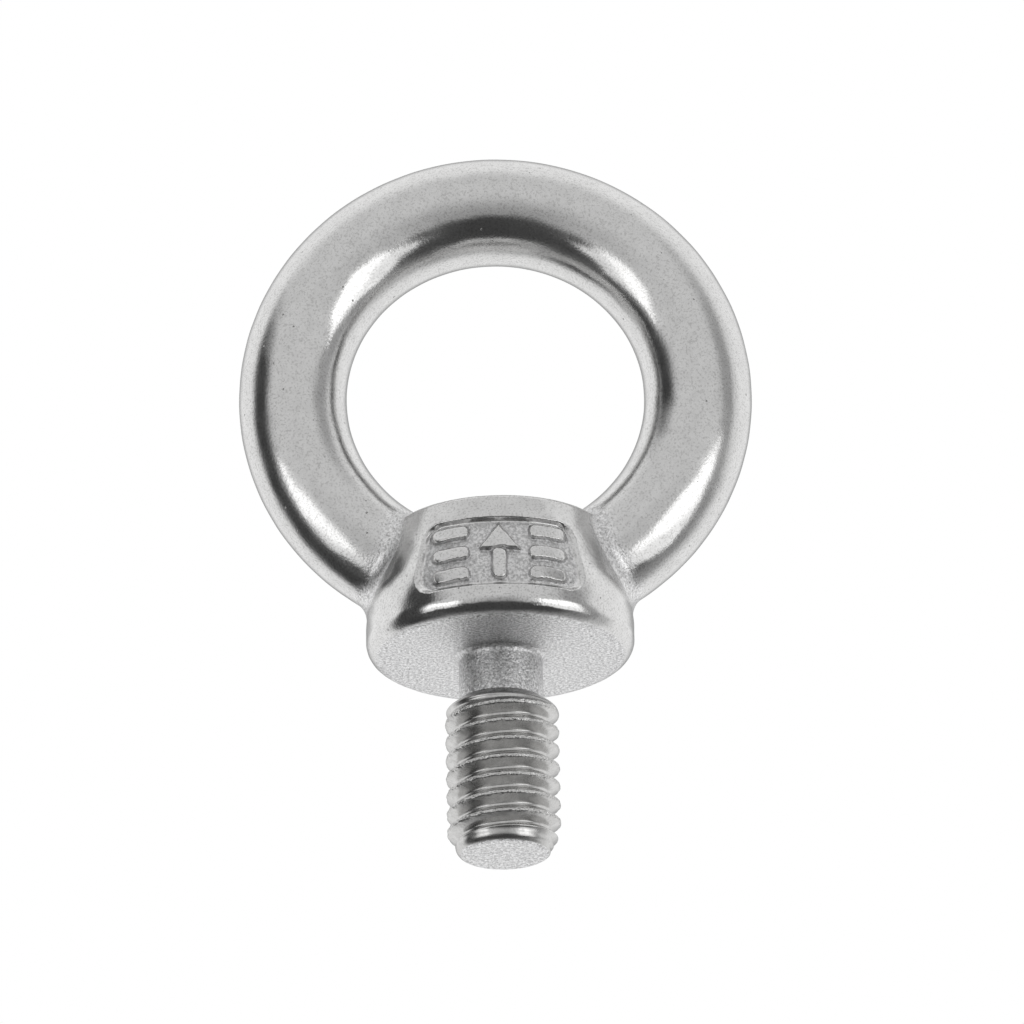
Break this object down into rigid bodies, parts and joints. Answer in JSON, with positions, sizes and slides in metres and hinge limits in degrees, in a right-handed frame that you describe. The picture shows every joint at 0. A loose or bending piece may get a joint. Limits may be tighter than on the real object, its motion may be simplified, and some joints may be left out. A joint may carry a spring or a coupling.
{
  "type": "eye bolt",
  "caption": "Cast stainless steel lifting eye bolt: round ring on a conical collar with a flat seat, above a short neck and an M6 threaded shank.",
  "frame": {"origin": "on the shank's axis, in the plane of the collar's seating face", "axes": "+Z along the shank's axis towards the ring, ring in the XZ plane, marked panel facing -Y"},
  "size_m": [0.027, 0.014, 0.039],
  "materials": {
    "cast_stainless": "satin, as cast and tumbled",
    "rolled_thread": "bright, as rolled"
  },
  "bodies": {
    "root": {"eye_ring": "cast_stainless", "collar": "cast_stainless", "panel_marks": "cast_stainless", "neck": "cast_stainless", "threaded_shank": "rolled_thread"}
  },
  "joints": []
}
